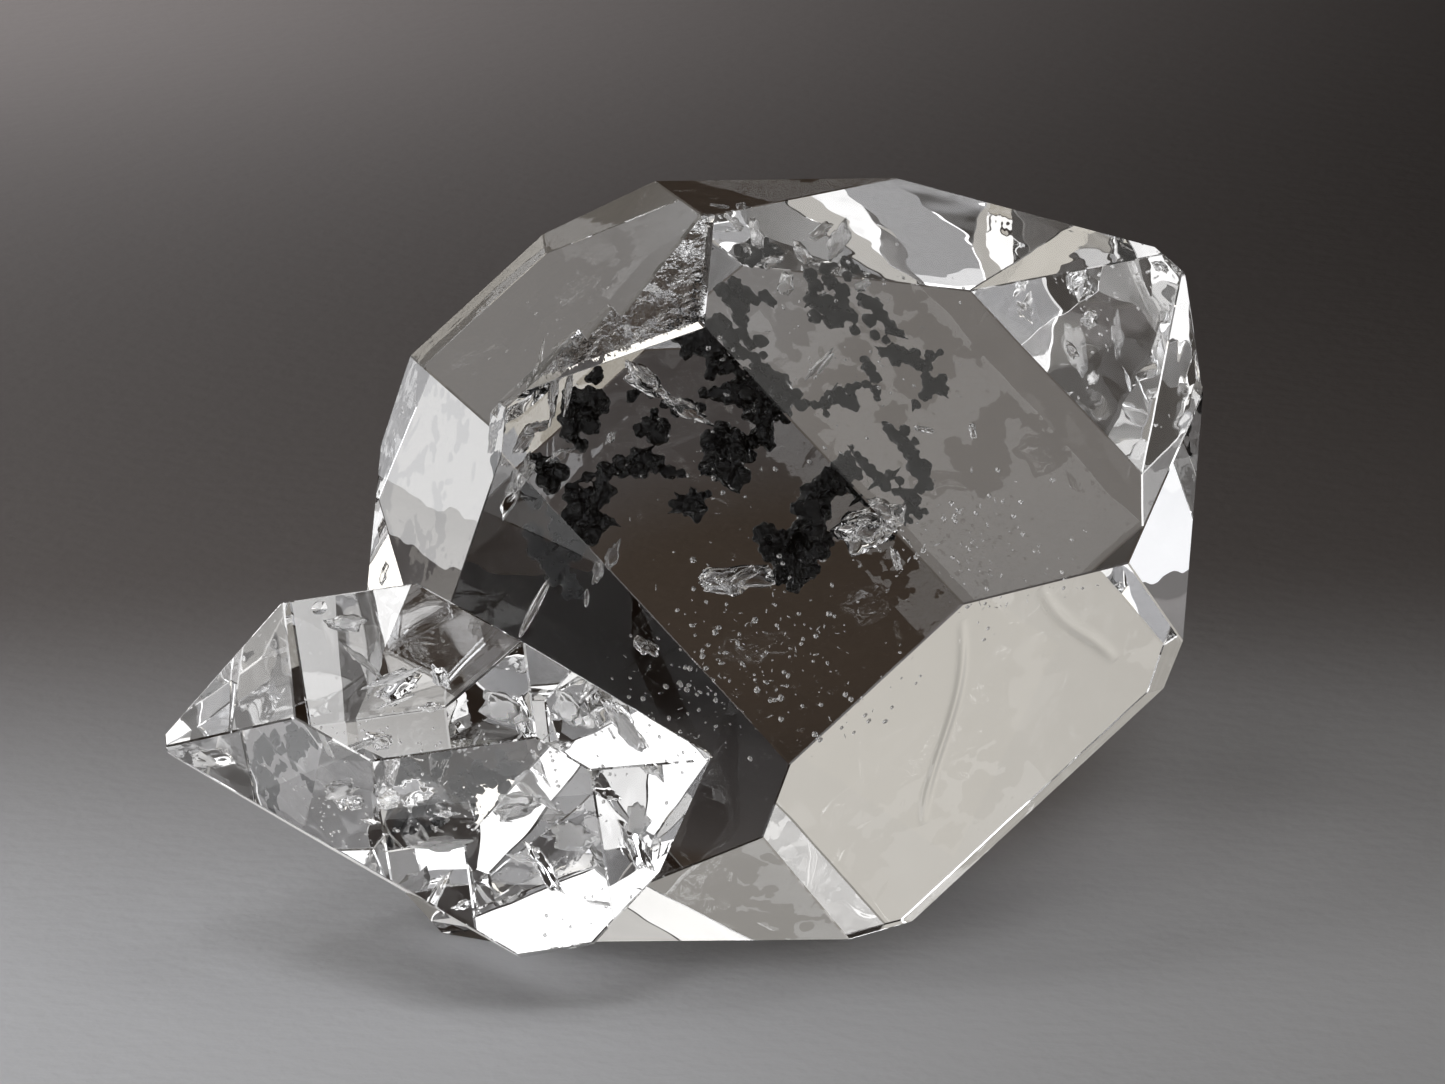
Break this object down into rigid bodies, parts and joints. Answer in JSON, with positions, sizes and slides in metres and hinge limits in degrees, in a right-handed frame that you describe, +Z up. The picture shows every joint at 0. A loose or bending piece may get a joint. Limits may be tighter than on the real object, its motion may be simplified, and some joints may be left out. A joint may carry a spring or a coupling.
{
  "type": "quartz crystal pair",
  "caption": "Clear doubly terminated quartz crystal with glossy black carbon lumps sealed inside and a smaller crystal grown into its lower end.",
  "frame": {"origin": "centre of the bounding box's bottom face, on the floor that the group rests on", "axes": "+Z up, with a lower pyramid face of the large crystal flat on z = 0; +X to the right along the long extent of the group, the small crystal at -X; -Y towards the viewer"},
  "size_m": [0.0256, 0.019, 0.0178],
  "materials": {
    "quartz": "clear natural crystal faces with growth steps and inner fracture flakes",
    "carbon": "glossy pitch black, in rounded lumps"
  },
  "bodies": {
    "root": {"quartz_front": "quartz", "quartz_back": "quartz", "carbon_ball": "carbon", "carbon_bead": "carbon", "carbon_blade": "carbon", "carbon_block": "carbon", "carbon_boot": "carbon", "carbon_branch": "carbon", "carbon_cloud": "carbon", "carbon_crown": "carbon", "carbon_drop": "carbon", "carbon_flake": "carbon", "carbon_flower": "carbon", "carbon_lump": "carbon", "carbon_mass": "carbon", "carbon_shard": "carbon", "carbon_speck": "carbon", "carbon_star": "carbon", "carbon_twins": "carbon"}
  },
  "joints": []
}
